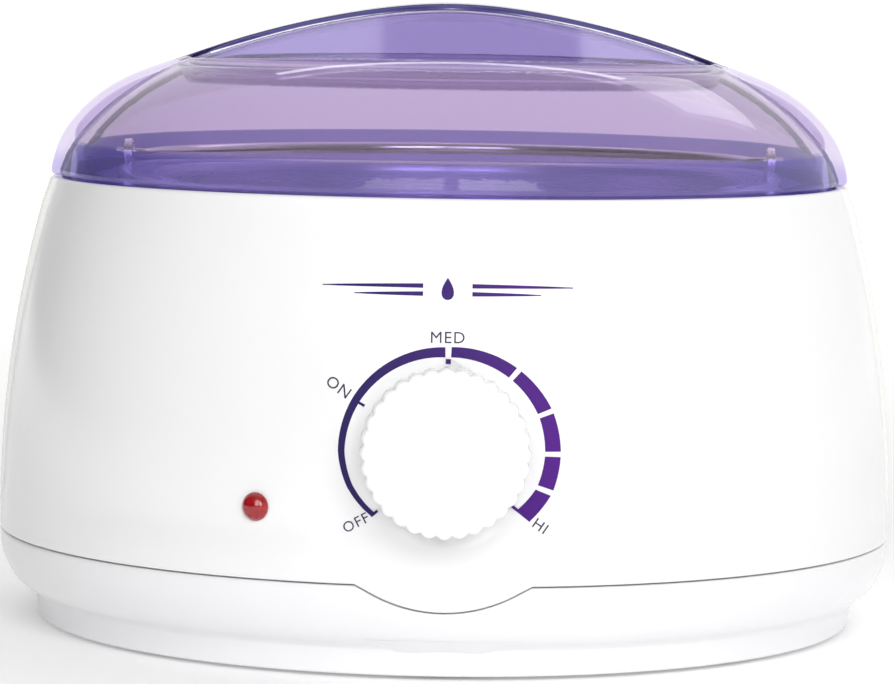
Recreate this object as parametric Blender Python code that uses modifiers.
"""Wax warmer pot: a round countertop heater for depilatory wax.

Frame: metres, +Z up, front (dial) faces -Y. The origin is on the table, below the
middle of the whole object's box; the knob makes that box deeper at the front, so the
round body's own axis stands BODY_AXIS_Y behind it.
Sizes below are in millimetres and are multiplied by MM where geometry is made.
"""
import math

import bmesh
import bpy
from mathutils import Matrix, Vector

MM = 0.001
GAP = 0.3                   # clearance between pieces that touch
BODY_AXIS_Y = 6.07

# --- driving dimensions (mm) ---------------------------------------------------
BODY_RADIUS = 92.45         # widest place, at the lower seam
BODY_TAPER = 9.7            # how far the wall leans in at the top
TAPER_FROM_Z = 20.0
TAPER_HEIGHT = 71.0
TAPER_POWER = 2.15
WALL = 2.5
HOUSING_BOTTOM_Z = 19.15
RIM_Z = 91.0
RIM_INNER_RADIUS = 80.2
DECK_Z = 87.0
DECK_THICKNESS = 2.2
DECK_OPENING_RADIUS = 66.0

BAND_HALF_WIDTH = 15.0      # raised bands on the left and right sides
BAND_PROUD_TOP = 1.2
BAND_PROUD_LOW = 0.6
BAND_BOTTOM_Z = 24.0

LID_SEAM_Z = 91.4
LID_SHELL = 2.2
SPIGOT_OUTER_RADIUS = 79.8
SPIGOT_INNER_RADIUS = 77.6
SPIGOT_BOTTOM_Z = 88.3
RIDGE_HALF_WIDTH_BASE = 10.5
RIDGE_HALF_WIDTH_TOP = 9.0
POCKET_RADIUS = 54.5
POCKET_FLOOR_Z = 112.0

KNOB_AXIS_Z = 44.2
KNOB_TILT = math.radians(5.0)
KNOB_RADIUS = 15.75
KNOB_LENGTH = 15.5
KNOB_BACK = -1.7            # back face, behind the tangent plane of the wall
KNOB_SCALLOPS = 32
RECESS_RADIUS = 17.2
RECESS_DEPTH = 2.2
RECESS_FLOOR_BACK = -4.9
TAB_RADIUS = 30.1           # front tab of the housing, round about the knob axis
BUSH_RADIUS = 4.5
SPINDLE_RADIUS = 3.0
RUNNING_CLEARANCE = 0.06

LAMP_AZIMUTH = math.radians(-22.8)
LAMP_Z = 32.75
INLET_Z = 38.0

FOOT_RING_Z = 0.8
FLOOR_BOTTOM_Z = 4.0
FLOOR_TOP_Z = 6.2
SCREW_CIRCLE = 77.0
FOOT_CIRCLE = 73.0

WELL_OUTER_RADIUS = 63.5
WELL_SHEET = 1.2
WELL_BOTTOM_Z = 35.0
WELL_FLANGE_RADIUS = 75.5
WELL_FLANGE_Z = 88.4
WELL_SCREW_CIRCLE = 72.4

POT_OUTER_RADIUS = 61.2
POT_SHEET = 1.2
POT_BOTTOM_Z = 38.0
POT_FLANGE_Z = 89.7
POT_FLANGE_RADIUS = 69.0

BAIL_PIVOT_Z = 95.4
BAIL_WIRE_RADIUS = 1.2
BAIL_RADIUS = 63.0
EAR_X = 66.6
EAR_THICKNESS = 1.6

SHELL_STEPS = 48
INNER_STEPS = 36
SMALL_STEPS = 20

parts = None
cutters = None


# --- scene helpers ---------------------------------------------------------------
def clear_scene():
    for obj in list(bpy.data.objects):
        bpy.data.objects.remove(obj, do_unlink=True)
    for name in ("wax_warmer_pot", "cutters"):
        if name in bpy.data.collections:
            bpy.data.collections.remove(bpy.data.collections[name])


def new_collection(name):
    collection = bpy.data.collections.new(name)
    bpy.context.scene.collection.children.link(collection)
    return collection


def material(name, colour, roughness, metallic=0.0):
    mat = bpy.data.materials.new(name)
    mat.use_nodes = True
    shader = mat.node_tree.nodes["Principled BSDF"]
    shader.inputs["Base Color"].default_value = (*colour, 1.0)
    shader.inputs["Roughness"].default_value = roughness
    shader.inputs["Metallic"].default_value = metallic
    mat.diffuse_color = (*colour, 1.0)
    return mat


def white_plastic(name, shade=0.88):
    return material(name, (shade, shade, shade), 0.25)


def steel(name):
    return material(name, (0.62, 0.62, 0.63), 0.35, 1.0)


def aluminium(name):
    return material(name, (0.78, 0.78, 0.79), 0.32, 1.0)


def place(obj, mat, collection, parent):
    obj.data.materials.append(mat)
    (collection or parts).objects.link(obj)
    obj.parent = parent
    return obj


def shade(mesh):
    mesh.shade_smooth()
    mesh.set_sharp_from_angle(angle=math.radians(35.0))


def from_bmesh(name, bm, mat, parent=None, collection=None):
    mesh = bpy.data.meshes.new(name)
    bm.to_mesh(mesh)
    bm.free()
    shade(mesh)
    return place(bpy.data.objects.new(name, mesh), mat, collection, parent)


def turned(name, profile, steps, mat, parent=None, collection=None, closed=True):
    """Turns (radius, height) points about Z; the outline runs down its outer side."""
    bm = bmesh.new()
    points = [bm.verts.new((r * MM, 0.0, z * MM)) for r, z in profile]
    for first, second in zip(points, points[1:]):
        bm.edges.new((first, second))
    if closed:
        bm.edges.new((points[-1], points[0]))
    obj = from_bmesh(name, bm, mat, parent, collection)
    screw = obj.modifiers.new("turn", "SCREW")
    screw.axis = "Z"
    screw.steps = steps
    screw.render_steps = steps
    screw.use_merge_vertices = True
    screw.merge_threshold = 0.00001
    screw.use_smooth_shade = True
    return obj


def cylinder(name, radius, low, high, mat, steps=SMALL_STEPS, at=(0.0, 0.0), parent=None,
             collection=None, top_radius=None):
    """A round bar along its own Z, from low to high."""
    bm = bmesh.new()
    top = radius if top_radius is None else top_radius
    bmesh.ops.create_cone(bm, cap_ends=True, segments=steps, radius1=radius * MM,
                          radius2=top * MM, depth=(high - low) * MM)
    bmesh.ops.translate(bm, verts=bm.verts,
                        vec=(at[0] * MM, at[1] * MM, 0.5 * (low + high) * MM))
    return from_bmesh(name, bm, mat, parent, collection)


def box(name, low, high, mat, parent=None, collection=None, rotation=None, bevel=0.0):
    bm = bmesh.new()
    bmesh.ops.create_cube(bm, size=1.0)
    size = Vector(high) - Vector(low)
    middle = (Vector(high) + Vector(low)) / 2.0
    bmesh.ops.scale(bm, verts=bm.verts, vec=size * MM)
    bmesh.ops.translate(bm, verts=bm.verts, vec=middle * MM)
    if rotation is not None:
        bmesh.ops.transform(bm, verts=bm.verts, matrix=rotation)
    obj = from_bmesh(name, bm, mat, parent, collection)
    if bevel:
        round_edges(obj, bevel)
    return obj


def round_edges(obj, width, segments=1, angle=40.0):
    bevel = obj.modifiers.new("round", "BEVEL")
    bevel.width = width * MM
    bevel.segments = segments
    bevel.limit_method = "ANGLE"
    bevel.angle_limit = math.radians(angle)
    return bevel


def as_cutter(obj):
    obj.hide_render = True
    obj.display_type = "WIRE"
    return obj


def boolean(target, tool, operation):
    modifier = target.modifiers.new(operation.lower() + "_" + tool.name, "BOOLEAN")
    modifier.operation = operation
    modifier.solver = "EXACT"
    modifier.object = tool
    return modifier


def hex_nut(name, radius, hole_radius, low, high, mat, parent=None, matrix=None):
    nut = cylinder(name, radius, low, high, mat, 6, parent=parent)
    way = cut_tool(name + "_way", cylinder, hole_radius, low - 2.0, high + 2.0, CUTTER,
                   SMALL_STEPS, parent=parent)
    if matrix is not None:
        nut.matrix_basis = matrix
        way.matrix_basis = matrix
    boolean(nut, way, "DIFFERENCE")
    return nut


def cut_tool(name, kind, *args, **options):
    """A cutter made by one of the shape functions, kept out of the parts."""
    options["collection"] = cutters
    return as_cutter(kind(name, *args, **options))


def joined(name, tools):
    """One cutter from several shapes that do not touch each other."""
    bm = bmesh.new()
    for tool in tools:
        start = len(bm.verts)
        bm.from_mesh(tool.data)
        bm.verts.ensure_lookup_table()
        if tool.parent:
            matrix = tool.parent.matrix_basis
            bmesh.ops.transform(bm, verts=bm.verts[start:], matrix=matrix)
        bpy.data.objects.remove(tool, do_unlink=True)
    return as_cutter(from_bmesh(name, bm, CUTTER, collection=cutters))


def wire(name, points, radius, mat, parent=None):
    """A round wire along points, 8-sided, with closed ends."""
    curve = bpy.data.curves.new(name, "CURVE")
    curve.dimensions = "3D"
    curve.bevel_depth = radius * MM
    curve.bevel_resolution = 2
    curve.use_fill_caps = True
    spline = curve.splines.new("POLY")
    spline.points.add(len(points) - 1)
    for point, place_mm in zip(spline.points, points):
        point.co = (*(Vector(place_mm) * MM), 1.0)
    return place(bpy.data.objects.new(name, curve), mat, None, parent)


def smooth_path(points, per_span=2):
    """Points along a Catmull-Rom curve through the given points."""
    padded = [points[0], *points, points[-1]]
    path = []
    for i in range(1, len(padded) - 2):
        p0, p1, p2, p3 = (Vector(p) for p in padded[i - 1:i + 3])
        for k in range(per_span):
            t = k / per_span
            path.append(0.5 * (2 * p1 + (p2 - p0) * t + (2 * p0 - 5 * p1 + 4 * p2 - p3) * t * t
                               + (3 * p1 - p0 - 3 * p2 + p3) * t ** 3))
    path.append(Vector(points[-1]))
    return path


def on_circle(radius, degrees):
    angle = math.radians(degrees)
    return radius * math.cos(angle), radius * math.sin(angle)


# --- outlines ----------------------------------------------------------------------
def band_radius(z):
    """Outer radius of the side bands, which is the object's outline from the front."""
    rise = max(0.0, z - TAPER_FROM_Z) / TAPER_HEIGHT
    return BODY_RADIUS - BODY_TAPER * rise ** TAPER_POWER


def band_proud(z):
    """How far the bands stand out of the round wall: nothing near the lower seam."""
    fade = min(1.0, max(0.0, (z - 21.0) / 10.0))
    fade = fade * fade * (3.0 - 2.0 * fade)
    rise = min(1.0, max(0.0, (z - 31.0) / 60.0))
    return fade * (BAND_PROUD_LOW + (BAND_PROUD_TOP - BAND_PROUD_LOW) * rise)


def wall_radius(z):
    return band_radius(z) - band_proud(z)


LID_BAND_OUTLINE = [(0.0, 127.8), (22.8, 125.3), (46.3, 119.2), (58.5, 114.9), (66.5, 111.8),
                    (72.5, 108.2), (77.6, 103.3), (81.0, 97.8), (82.6, LID_SEAM_Z)]
LID_DOME_OUTLINE = [(0.0, 127.2), (22.8, 124.7), (44.0, 119.6), (56.0, 115.6), (64.5, 111.2),
                    (70.8, 106.6), (76.0, 101.4), (79.6, 96.3), (81.4, LID_SEAM_Z)]


# --- frames of the pieces mounted on the wall ----------------------------------------
def wall_frame(name, azimuth, z, tilt):
    """An empty on the wall's surface, its +Z pointing out of the wall."""
    empty = bpy.data.objects.new(name, None)
    parts.objects.link(empty)
    out = Vector((math.sin(azimuth), -math.cos(azimuth), 0.0))
    normal = out * math.cos(tilt) + Vector((0.0, 0.0, math.sin(tilt)))
    side = Vector((math.cos(azimuth), math.sin(azimuth), 0.0))
    up = normal.cross(side)
    spot = out * wall_radius(z) + Vector((0.0, 0.0, z))
    matrix = Matrix((side, up, normal)).transposed().to_4x4()
    matrix.translation = spot * MM
    empty.matrix_basis = matrix
    return empty


# --- outer casing ------------------------------------------------------------------
def make_housing(knob_frame, lamp_frame, inlet_frame):
    mat = white_plastic("housing_white")
    outer_z = [RIM_Z - 0.8, 82.0, 71.0, 58.0, 45.0, 32.0, 26.0, 21.0, HOUSING_BOTTOM_Z]
    outline = [(wall_radius(RIM_Z) - 0.6, RIM_Z)]
    outline += [(wall_radius(z), z) for z in outer_z]
    outline += [(91.95, 14.5), (91.7, 13.0)]
    outline += [(91.7 - WALL, 13.0)]
    inner_z = [24.0, 45.0, 66.0, DECK_Z - DECK_THICKNESS]
    outline += [(wall_radius(z) - WALL, z) for z in inner_z]
    outline += [(DECK_OPENING_RADIUS, DECK_Z - DECK_THICKNESS), (DECK_OPENING_RADIUS, DECK_Z),
                (RIM_INNER_RADIUS, DECK_Z), (RIM_INNER_RADIUS, RIM_Z - 0.4),
                (RIM_INNER_RADIUS + 0.4, RIM_Z)]
    housing = turned("housing", outline, SHELL_STEPS, mat)

    band_z = [RIM_Z, 82.0, 71.0, 58.0, 45.0, 32.0, BAND_BOTTOM_Z]
    band_outline = [(band_radius(z), z) for z in band_z]
    band_outline += [(band_radius(z) - 2.6, z) for z in reversed(band_z)]
    bands = as_cutter(turned("side_bands", band_outline, SHELL_STEPS, CUTTER,
                             collection=cutters))
    keep = cut_tool("side_band_limits", box, (-110.0, -BAND_HALF_WIDTH, BAND_BOTTOM_Z + 0.2),
                    (110.0, BAND_HALF_WIDTH, RIM_Z - 0.01), CUTTER)
    boolean(bands, keep, "INTERSECT")
    boolean(housing, bands, "UNION")

    skirt = cut_tool("skirt_cut", cylinder, 110.0, 5.0, HOUSING_BOTTOM_Z, CUTTER, SHELL_STEPS)
    tab = cut_tool("tab_keep", cylinder, TAB_RADIUS, -14.0, 10.0, CUTTER, SHELL_STEPS,
                   parent=knob_frame)
    boolean(skirt, tab, "DIFFERENCE")
    boolean(housing, skirt, "DIFFERENCE")

    floor = cut_tool("recess_floor", cylinder, RECESS_RADIUS + 2.1, RECESS_FLOOR_BACK,
                     -RECESS_DEPTH - 0.15, CUTTER, SHELL_STEPS, parent=knob_frame)
    boolean(housing, floor, "UNION")
    recess = cut_tool("recess", cylinder, RECESS_RADIUS, -RECESS_DEPTH, 6.0, CUTTER,
                      SHELL_STEPS, parent=knob_frame)
    boolean(housing, recess, "DIFFERENCE")

    bosses = joined("bosses", [
        cylinder("boss", 4.0, FLOOR_TOP_Z + GAP, DECK_Z - 1.0, CUTTER, 16,
                 at=on_circle(SCREW_CIRCLE, 45.0 + 90.0 * i), collection=cutters)
        for i in range(4)])
    boolean(housing, bosses, "UNION")

    holes = [cylinder("screw_hole", 1.7, 0.0, 20.0, CUTTER, 12,
                      at=on_circle(SCREW_CIRCLE, 45.0 + 90.0 * i), collection=cutters)
             for i in range(4)]
    holes += [cylinder("well_screw_hole", 1.5, 80.0, 90.0, CUTTER, 12,
                       at=on_circle(WELL_SCREW_CIRCLE, 30.0 + 120.0 * i), collection=cutters)
              for i in range(3)]
    holes.append(cylinder("bush_hole", BUSH_RADIUS + GAP, -12.0, 12.0, CUTTER, SMALL_STEPS,
                          parent=knob_frame, collection=cutters))
    holes.append(cylinder("lamp_hole", 2.5, -9.0, 9.0, CUTTER, 16, parent=lamp_frame,
                          collection=cutters))
    holes.append(cylinder("inlet_hole", 5.0, -9.0, 9.0, CUTTER, SMALL_STEPS,
                          parent=inlet_frame, collection=cutters))
    boolean(housing, joined("housing_holes", holes), "DIFFERENCE")
    return housing


def make_base(knob_frame):
    ring_top = HOUSING_BOTTOM_Z - GAP
    outline = [(92.4, ring_top), (91.95, 14.5), (90.8, 11.5), (89.2, 9.0), (85.6, 6.4),
               (85.1, 5.6), (84.3, FOOT_RING_Z + 0.5), (83.7, FOOT_RING_Z),
               (81.8, FOOT_RING_Z), (81.4, FLOOR_BOTTOM_Z), (0.0, FLOOR_BOTTOM_Z),
               (0.0, FLOOR_TOP_Z), (82.4, FLOOR_TOP_Z), (85.6, 8.4), (87.4, 11.5), (87.4, 21.5),
               (89.3, 21.5), (89.4, ring_top)]
    base = turned("base_tray", outline, SHELL_STEPS, white_plastic("base_white", 0.86))
    tab = cut_tool("tab_clearance", cylinder, TAB_RADIUS + GAP, -11.0, 10.0, CUTTER,
                   SHELL_STEPS, parent=knob_frame)
    boolean(base, tab, "DIFFERENCE")
    holes = []
    for i in range(4):
        holes.append(cylinder("screw_way", 1.9, 0.0, 12.0, CUTTER, 12,
                              at=on_circle(SCREW_CIRCLE, 45.0 + 90.0 * i),
                              collection=cutters))
        holes.append(cylinder("foot_way", 2.3, 0.0, 12.0, CUTTER, 12,
                              at=on_circle(FOOT_CIRCLE, 90.0 * i), collection=cutters))
    for i in range(8):
        turn = Matrix.Rotation(math.radians(22.5 + 45.0 * i), 4, "Z")
        holes.append(box("vent", (34.0, -2.0, 0.0), (58.0, 2.0, 12.0), CUTTER,
                         rotation=turn, collection=cutters))
    boolean(base, joined("base_holes", holes), "DIFFERENCE")
    return base


def make_base_fasteners():
    for i in range(4):
        x, y = on_circle(SCREW_CIRCLE, 45.0 + 90.0 * i)
        seat = FLOOR_BOTTOM_Z - GAP
        screw = turned(f"base_screw_{i + 1}",
                       [(0.0, 16.0), (0.9, 16.0), (1.4, 14.6), (1.4, seat), (2.9, seat),
                        (2.9, 2.5), (2.0, 1.9), (0.0, 1.9)],
                       12, steel(f"base_screw_steel_{i + 1}"), closed=False)
        screw.location = (x * MM, y * MM, 0.0)
        x, y = on_circle(FOOT_CIRCLE, 90.0 * i)
        foot = turned(f"rubber_foot_{i + 1}",
                      [(0.0, 8.6), (1.2, 8.6), (2.0, 7.4), (2.0, seat), (5.9, seat),
                       (5.9, 0.5), (5.4, 0.0), (0.0, 0.0)],
                      16, material(f"rubber_{i + 1}", (0.09, 0.09, 0.1), 0.8), closed=False)
        foot.location = (x * MM, y * MM, 0.0)


# --- lid -----------------------------------------------------------------------------
def ridge_block(name, shrink, low_z):
    """The bar left between the two finger pockets, wider at its foot."""
    bm = bmesh.new()
    bmesh.ops.create_cube(bm, size=1.0)
    high_z = 140.0
    slope = (RIDGE_HALF_WIDTH_TOP - RIDGE_HALF_WIDTH_BASE) / (127.8 - POCKET_FLOOR_Z)
    for vert in bm.verts:
        z = high_z if vert.co.z > 0 else low_z
        half = RIDGE_HALF_WIDTH_BASE + slope * (z - POCKET_FLOOR_Z) - shrink
        vert.co = Vector((math.copysign(90.0, vert.co.x), math.copysign(half, vert.co.y), z)) * MM
    return as_cutter(from_bmesh(name, bm, CUTTER, collection=cutters))


def pocket_cutter(name, grow):
    """Both finger pockets: a round well with the ridge left standing across it."""
    floor_z = POCKET_FLOOR_Z - grow
    well = cut_tool(name, cylinder, POCKET_RADIUS + grow, floor_z, 139.0, CUTTER, INNER_STEPS)
    boolean(well, ridge_block(name + "_ridge", grow, floor_z - 1.0), "DIFFERENCE")
    return well


def make_lid():
    mat = material("lid_violet", (0.28, 0.2, 0.62), 0.08)
    foot = [(SPIGOT_OUTER_RADIUS, LID_SEAM_Z), (SPIGOT_OUTER_RADIUS, SPIGOT_BOTTOM_Z),
            (0.0, SPIGOT_BOTTOM_Z)]
    lid = turned("lid", LID_DOME_OUTLINE + foot, SHELL_STEPS, mat, closed=False)

    band_foot = [(SPIGOT_OUTER_RADIUS - 0.8, LID_SEAM_Z + 0.02), (0.0, LID_SEAM_Z + 0.02)]
    bands = as_cutter(turned("lid_bands", LID_BAND_OUTLINE + band_foot, SHELL_STEPS, CUTTER,
                             collection=cutters, closed=False))
    keep = cut_tool("lid_band_limits", box, (-110.0, -BAND_HALF_WIDTH, 80.0),
                    (110.0, BAND_HALF_WIDTH, 140.0), CUTTER)
    boolean(bands, keep, "INTERSECT")
    boolean(lid, bands, "UNION")
    boolean(lid, pocket_cutter("pockets", 0.0), "DIFFERENCE")

    inner = [(0.0, 125.2), (22.0, 122.7), (43.0, 117.0), (54.5, 113.2), (62.5, 109.2),
             (68.6, 104.8), (73.8, 99.4), (76.8, 94.5), (SPIGOT_INNER_RADIUS, 91.0)]
    cavity_outline = inner + [(SPIGOT_INNER_RADIUS, 80.0), (0.0, 80.0)]
    cavity = as_cutter(turned("lid_cavity", cavity_outline, SHELL_STEPS, CUTTER,
                              collection=cutters, closed=False))
    boolean(cavity, pocket_cutter("pocket_shells", LID_SHELL), "DIFFERENCE")
    boolean(lid, cavity, "DIFFERENCE")
    return lid


# --- pot, bail and heating well ----------------------------------------------------------
def make_pot():
    mat = aluminium("pot_aluminium")
    top = POT_FLANGE_Z + POT_SHEET
    inner = POT_OUTER_RADIUS - POT_SHEET
    outline = [(POT_FLANGE_RADIUS - 0.5, top + 0.6), (POT_FLANGE_RADIUS, top),
               (POT_FLANGE_RADIUS, POT_FLANGE_Z), (POT_OUTER_RADIUS + 0.6, POT_FLANGE_Z),
               (POT_OUTER_RADIUS, POT_FLANGE_Z - 1.0), (60.4, 46.0), (59.0, 41.0),
               (55.5, POT_BOTTOM_Z), (0.0, POT_BOTTOM_Z), (0.0, POT_BOTTOM_Z + POT_SHEET),
               (55.0, POT_BOTTOM_Z + POT_SHEET), (57.9, 41.8), (59.2, 46.2),
               (inner, POT_FLANGE_Z - 0.6), (inner + 1.2, top), (POT_FLANGE_RADIUS - 1.6, top)]
    pot = turned("pot", outline, INNER_STEPS, mat)
    ears = joined("ears", [
        box("ear", (side * EAR_X - EAR_THICKNESS / 2, -4.5, top - 0.5),
            (side * EAR_X + EAR_THICKNESS / 2, 4.5, BAIL_PIVOT_Z + 3.4), CUTTER,
            collection=cutters) for side in (-1, 1)])
    boolean(pot, ears, "UNION")
    lay = Matrix.Rotation(math.radians(90.0), 4, "Y")
    hole = cylinder("ear_holes", BAIL_WIRE_RADIUS + RUNNING_CLEARANCE, -80.0, 80.0, CUTTER, 16,
                    collection=cutters)
    hole.data.transform(lay)
    hole.data.transform(Matrix.Translation((0.0, 0.0, BAIL_PIVOT_Z * MM)))
    boolean(pot, as_cutter(hole), "DIFFERENCE")
    return pot


def make_bail():
    """A wire bow, folded down to the rear; its ends turn out through the ears."""
    end_x = EAR_X + 2.6
    corner = 3.0
    points = [(-end_x, 0.0, 0.0), (-BAIL_RADIUS - corner + 0.8, 0.0, 0.0),
              (-BAIL_RADIUS - 0.9, 0.9, 0.0), (-BAIL_RADIUS, corner, 0.0)]
    for i in range(1, 16):
        x, y = on_circle(BAIL_RADIUS, 180.0 - 180.0 * i / 16)
        points.append((x, y + corner, 0.0))
    points += [(-x, y, z) for x, y, z in reversed(points[:4])]
    bail = wire("bail", points, BAIL_WIRE_RADIUS, steel("bail_steel"))
    bail.location = (0.0, 0.0, BAIL_PIVOT_Z * MM)
    return bail


def make_well():
    mat = aluminium("well_aluminium")
    inner = WELL_OUTER_RADIUS - WELL_SHEET
    top = WELL_FLANGE_Z + 1.0
    outline = [(WELL_FLANGE_RADIUS, top), (WELL_FLANGE_RADIUS, WELL_FLANGE_Z),
               (WELL_OUTER_RADIUS, WELL_FLANGE_Z), (WELL_OUTER_RADIUS, 38.0),
               (60.5, WELL_BOTTOM_Z), (0.0, WELL_BOTTOM_Z),
               (0.0, WELL_BOTTOM_Z + WELL_SHEET), (60.0, WELL_BOTTOM_Z + WELL_SHEET),
               (inner, 38.6), (inner, top)]
    well = turned("heating_well", outline, INNER_STEPS, mat)
    gasket = turned("well_gasket", [(75.0, 88.1), (75.0, 87.3), (66.4, 87.3), (66.4, 88.1)],
                    INNER_STEPS, material("silicone_grey", (0.55, 0.55, 0.56), 0.7))
    ways = joined("well_screw_ways", [
        cylinder("way", 1.7, 84.0, 95.0, CUTTER, 12,
                 at=on_circle(WELL_SCREW_CIRCLE, 30.0 + 120.0 * i), collection=cutters)
        for i in range(3)])
    boolean(well, ways, "DIFFERENCE")
    boolean(gasket, ways, "DIFFERENCE")
    for i in range(3):
        x, y = on_circle(WELL_SCREW_CIRCLE, 30.0 + 120.0 * i)
        seat = WELL_FLANGE_Z + 1.0 + GAP
        screw = turned(f"well_screw_{i + 1}",
                       [(0.0, seat + 1.3), (1.6, seat + 1.3), (2.5, seat + 0.5), (2.5, seat),
                        (1.2, seat), (1.2, 80.6), (0.0, 79.8)],
                       12, steel(f"well_screw_steel_{i + 1}"), closed=False)
        screw.location = (x * MM, y * MM, 0.0)


def make_heater():
    """A clamped band heater about the well, its split at the rear."""
    inner = WELL_OUTER_RADIUS + GAP
    outer = inner + 2.2
    low, high = 47.0, 69.0
    band = turned("heater_band", [(outer, high), (outer, low), (inner, low), (inner, high)],
                  INNER_STEPS, material("mica_steel", (0.5, 0.5, 0.47), 0.45, 0.8))
    lugs = joined("heater_lugs", [
        box("lug", (side * 3.4 - 0.8, inner + 0.6, low + 5.0),
            (side * 3.4 + 0.8, outer + 8.0, high - 5.0), CUTTER, collection=cutters)
        for side in (-1, 1)])
    boolean(band, lugs, "UNION")
    split = cut_tool("heater_split", box, (-2.6, inner - 3.0, low - 1.0),
                     (2.6, outer + 12.0, high + 1.0), CUTTER)
    boolean(band, split, "DIFFERENCE")
    lay = Matrix.Rotation(math.radians(90.0), 4, "Y")
    middle = Matrix.Translation((0.0, (outer + 4.4) * MM, 58.0 * MM))
    way = cylinder("clamp_way", 1.8, -10.0, 10.0, CUTTER, 12, collection=cutters)
    way.data.transform(middle @ lay)
    boolean(band, as_cutter(way), "DIFFERENCE")
    screw = turned("heater_clamp_screw",
                   [(0.0, 9.0), (1.4, 9.0), (1.4, -4.5), (2.7, -4.5), (2.7, -6.6), (0.0, -6.6)],
                   16, steel("clamp_screw_steel"), closed=False)
    screw.matrix_basis = middle @ lay
    hex_nut("heater_clamp_nut", 3.0, 1.4 + GAP, 4.5, 6.9, steel("clamp_nut_steel"),
            matrix=middle @ lay)


# --- controls ---------------------------------------------------------------------------
def make_knob(knob_frame):
    front = KNOB_BACK + KNOB_LENGTH
    bm = bmesh.new()
    steps = KNOB_SCALLOPS * 3
    bmesh.ops.create_cone(bm, cap_ends=True, segments=steps, radius1=KNOB_RADIUS * MM,
                          radius2=KNOB_RADIUS * MM, depth=KNOB_LENGTH * MM)
    bmesh.ops.translate(bm, verts=bm.verts, vec=(0.0, 0.0, 0.5 * (KNOB_BACK + front) * MM))
    for vert in bm.verts:
        angle = math.atan2(vert.co.y, vert.co.x)
        radius = KNOB_RADIUS - 0.3 + 0.3 * math.cos(KNOB_SCALLOPS * angle)
        if vert.co.z < 0.0:
            radius += 0.35
        vert.co.x = radius * MM * math.cos(angle)
        vert.co.y = radius * MM * math.sin(angle)
    knob = from_bmesh("knob", bm, white_plastic("knob_white", 0.9), knob_frame)
    round_edges(knob, 0.7, 1, 60.0)
    hollow = cut_tool("knob_hollow", turned,
                      [(0.0, 8.5), (SPINDLE_RADIUS + 0.1, 8.5), (SPINDLE_RADIUS + 0.1, 2.4),
                       (9.0, 2.4), (9.0, -6.0), (0.0, -6.0)],
                      SMALL_STEPS, CUTTER, parent=knob_frame, closed=False)
    boolean(knob, hollow, "DIFFERENCE")
    turned("knob_spindle", [(0.0, 8.2), (2.5, 8.2), (SPINDLE_RADIUS, 7.6),
                            (SPINDLE_RADIUS, -18.0), (0.0, -18.0)],
           SMALL_STEPS, steel("spindle_steel"), parent=knob_frame, closed=False)


def make_thermostat(knob_frame):
    back = RECESS_FLOOR_BACK - GAP
    body = box("thermostat", (-12.0, -13.0, back - 16.0), (12.0, 13.0, back),
               material("thermostat_ceramic", (0.82, 0.79, 0.7), 0.6), parent=knob_frame)
    bush = cut_tool("thermostat_bush", cylinder, BUSH_RADIUS, back - 2.0, 1.4, CUTTER,
                    SMALL_STEPS, parent=knob_frame)
    boolean(body, bush, "UNION")
    bore = cut_tool("thermostat_bore", cylinder, SPINDLE_RADIUS + RUNNING_CLEARANCE, -18.4,
                    9.0, CUTTER, SMALL_STEPS, parent=knob_frame)
    boolean(body, bore, "DIFFERENCE")
    low = -RECESS_DEPTH + GAP
    hex_nut("thermostat_nut", 7.4, BUSH_RADIUS + GAP, low, low + 2.3,
            material("nut_brass", (0.72, 0.58, 0.3), 0.35, 1.0), parent=knob_frame)
    for i, x in enumerate((-6.0, 6.0)):
        box(f"thermostat_terminal_{i + 1}", (x - 2.4, -21.0, back - 9.0),
            (x + 2.4, -13.0 - GAP, back - 8.2),
            material(f"terminal_brass_{i + 1}", (0.75, 0.6, 0.32), 0.3, 1.0),
            parent=knob_frame)


def make_lamp(lamp_frame):
    turned("lamp_lens", [(0.0, 2.0), (1.1, 1.85), (2.0, 1.4), (2.6, 0.7), (2.75, 0.35),
                         (2.75, 0.3), (2.2, 0.3), (2.2, -5.4), (0.0, -5.4)],
           SMALL_STEPS, material("lens_red", (0.55, 0.02, 0.03), 0.15), parent=lamp_frame,
           closed=False)
    turned("lamp_push_nut", [(4.4, -3.1), (4.4, -4.2), (2.5, -4.2), (2.5, -3.1)], 20,
           steel("push_nut_steel"), parent=lamp_frame)
    turned("neon_lamp", [(0.0, -5.8), (1.9, -6.4), (2.2, -7.2), (2.2, -15.0), (0.0, -15.4)],
           16, material("neon_glass", (0.85, 0.6, 0.5), 0.1), parent=lamp_frame, closed=False)


def make_inlet(inlet_frame):
    turned("cord_grommet", [(6.0, 2.4), (7.0, 1.6), (7.0, 0.4), (4.7, 0.4), (4.7, -3.4),
                            (6.0, -3.4), (5.6, -5.0), (3.3, -5.0), (3.3, 2.4)],
           SMALL_STEPS, material("grommet_rubber", (0.82, 0.82, 0.8), 0.7),
           parent=inlet_frame)


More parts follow.
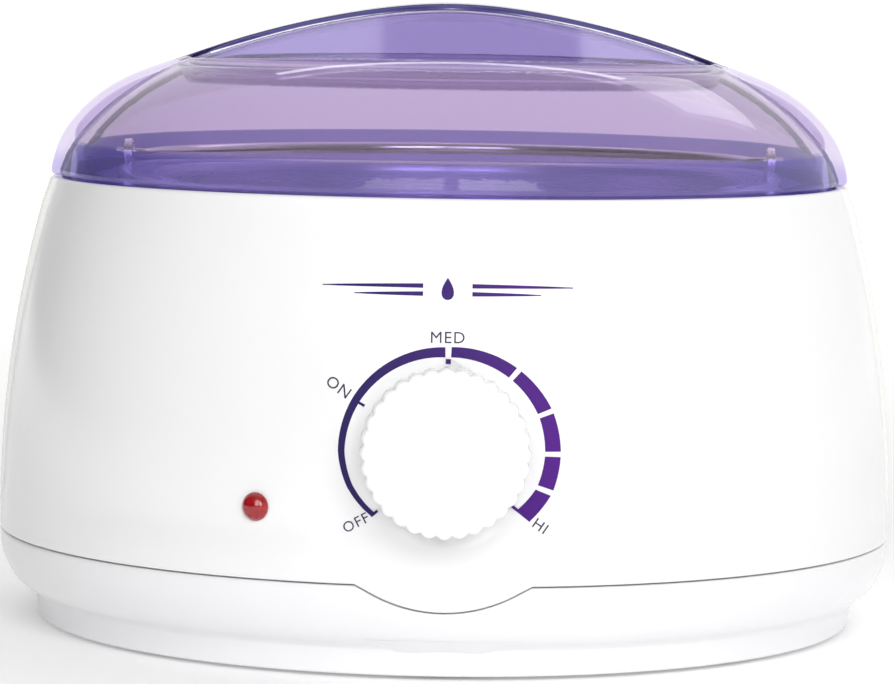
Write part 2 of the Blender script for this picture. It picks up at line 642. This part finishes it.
def make_fuse():
    """A thermal fuse held against the underside of the well by a sprung strap."""
    centre_z = WELL_BOTTOM_Z - GAP - 2.2
    lay = Matrix.Translation((18.0 * MM, 8.0 * MM, centre_z * MM))
    lay = lay @ Matrix.Rotation(math.radians(90.0), 4, "X")
    fuse = turned("thermal_fuse", [(0.0, 7.5), (1.0, 7.5), (2.0, 6.4), (2.0, -6.4),
                                   (1.0, -7.5), (0.0, -7.5)],
                  16, material("fuse_case", (0.7, 0.7, 0.68), 0.3, 0.9), closed=False)
    fuse.matrix_basis = lay
    top = WELL_BOTTOM_Z - GAP
    outline = [(-9.0, top), (-3.4, top)]
    outline += [(-2.9 * math.cos(a), centre_z - 2.9 * math.sin(a))
                for a in (math.radians(d) for d in range(0, 181, 30))]
    outline += [(3.4, top), (9.0, top)]
    bm = bmesh.new()
    rows = []
    for y in (4.0, 12.0):
        rows.append([bm.verts.new(((x + 18.0) * MM, y * MM, z * MM)) for x, z in outline])
    for i in range(len(outline) - 1):
        bm.faces.new((rows[0][i], rows[0][i + 1], rows[1][i + 1], rows[1][i]))
    clip = from_bmesh("fuse_clip", bm, steel("clip_steel"))
    sheet = clip.modifiers.new("sheet", "SOLIDIFY")
    sheet.thickness = 0.5 * MM
    sheet.offset = -1.0


def make_terminal_block():
    low, high = FLOOR_TOP_Z + 1.7, FLOOR_TOP_Z + 12.0
    block = box("terminal_block", (-14.0, 50.0, low), (14.0, 62.0, high),
                material("block_nylon", (0.88, 0.87, 0.83), 0.5), bevel=0.5)
    wells = joined("terminal_wells", [
        cylinder("well", 2.0, high - 5.0, high + 2.0, CUTTER, 12, at=(x, 56.0),
                 collection=cutters) for x in (-8.5, 0.0, 8.5)])
    boolean(block, wells, "DIFFERENCE")


def make_leads(knob_frame):
    """Insulated leads between the terminal block, thermostat, fuse, heater and lamp."""
    at_1 = (knob_frame.matrix_basis @ Vector((-6.0 * MM, -21.6 * MM, -13.8 * MM))) / MM
    at_2 = (knob_frame.matrix_basis @ Vector((6.0 * MM, -21.6 * MM, -13.8 * MM))) / MM
    lamp_back = Matrix.Rotation(LAMP_AZIMUTH, 3, "Z") @ Vector((0.0, -wall_radius(LAMP_Z), 0.0))
    lamp_back = lamp_back * (1.0 - 17.0 / lamp_back.length)
    routes = {
        "lead_live": ((0.5, 0.12, 0.03), [
            (-8.5, 48.8, 12.0), (-18.0, 42.0, 11.0), (-50.0, 26.0, 10.5), (-62.0, -5.0, 10.5),
            (-48.0, -44.0, 10.5), (-22.0, -66.0, 11.5), (at_1.x, at_1.y + 1.0, 15.0),
            (at_1.x, at_1.y, at_1.z)]),
        "lead_switched": ((0.06, 0.06, 0.07), [
            (at_2.x, at_2.y, at_2.z), (at_2.x + 0.5, at_2.y + 2.0, 15.0),
            (16.0, -50.0, 13.0), (22.0, -24.0, 18.0), (19.5, -8.0, 28.0), (18.0, -2.0, 32.4)]),
        "lead_heater": ((0.8, 0.8, 0.78), [
            (18.0, 17.0, 32.4), (21.0, 26.0, 27.0), (36.0, 46.0, 24.0), (44.0, 58.0, 34.0),
            (41.0, 62.0, 44.0), (38.0, 56.5, 46.2)]),
        "lead_neutral": ((0.04, 0.12, 0.45), [
            (8.5, 48.8, 12.0), (9.0, 43.0, 15.0), (-4.0, 44.0, 24.0), (-28.0, 58.0, 32.0),
            (-36.0, 63.5, 42.0), (-33.0, 58.5, 46.2)]),
        "lead_lamp": ((0.75, 0.75, 0.2), [
            (0.0, 48.8, 12.0), (-14.0, 40.0, 18.0), (-40.0, 20.0, 20.0), (-56.0, -14.0, 22.0),
            (-44.0, -50.0, 26.0), (lamp_back.x, lamp_back.y, LAMP_Z)]),
    }
    for name, (colour, route) in routes.items():
        wire(name, smooth_path(route), 0.8, material(name + "_pvc", colour, 0.5))


def stand_on_origin():
    """Moves the finished model back, so that its box is centred on the origin."""
    for obj in [*parts.objects, *cutters.objects]:
        if obj.parent is None:
            obj.matrix_basis = Matrix.Translation((0.0, BODY_AXIS_Y * MM, 0.0)) @ obj.matrix_basis


clear_scene()
parts = new_collection("wax_warmer_pot")
cutters = new_collection("cutters")
CUTTER = material("cutter", (0.9, 0.3, 0.1), 0.5)

knob_axis = wall_frame("knob_axis", 0.0, KNOB_AXIS_Z, KNOB_TILT)
lamp_axis = wall_frame("lamp_axis", LAMP_AZIMUTH, LAMP_Z, math.radians(2.5))
inlet_axis = wall_frame("inlet_axis", math.pi, INLET_Z, 0.0)

make_housing(knob_axis, lamp_axis, inlet_axis)
make_base(knob_axis)
make_base_fasteners()
make_lid()
make_pot()
make_bail()
make_well()
make_heater()
make_knob(knob_axis)
make_thermostat(knob_axis)
make_lamp(lamp_axis)
make_inlet(inlet_axis)
make_fuse()
make_terminal_block()
make_leads(knob_axis)
stand_on_origin()
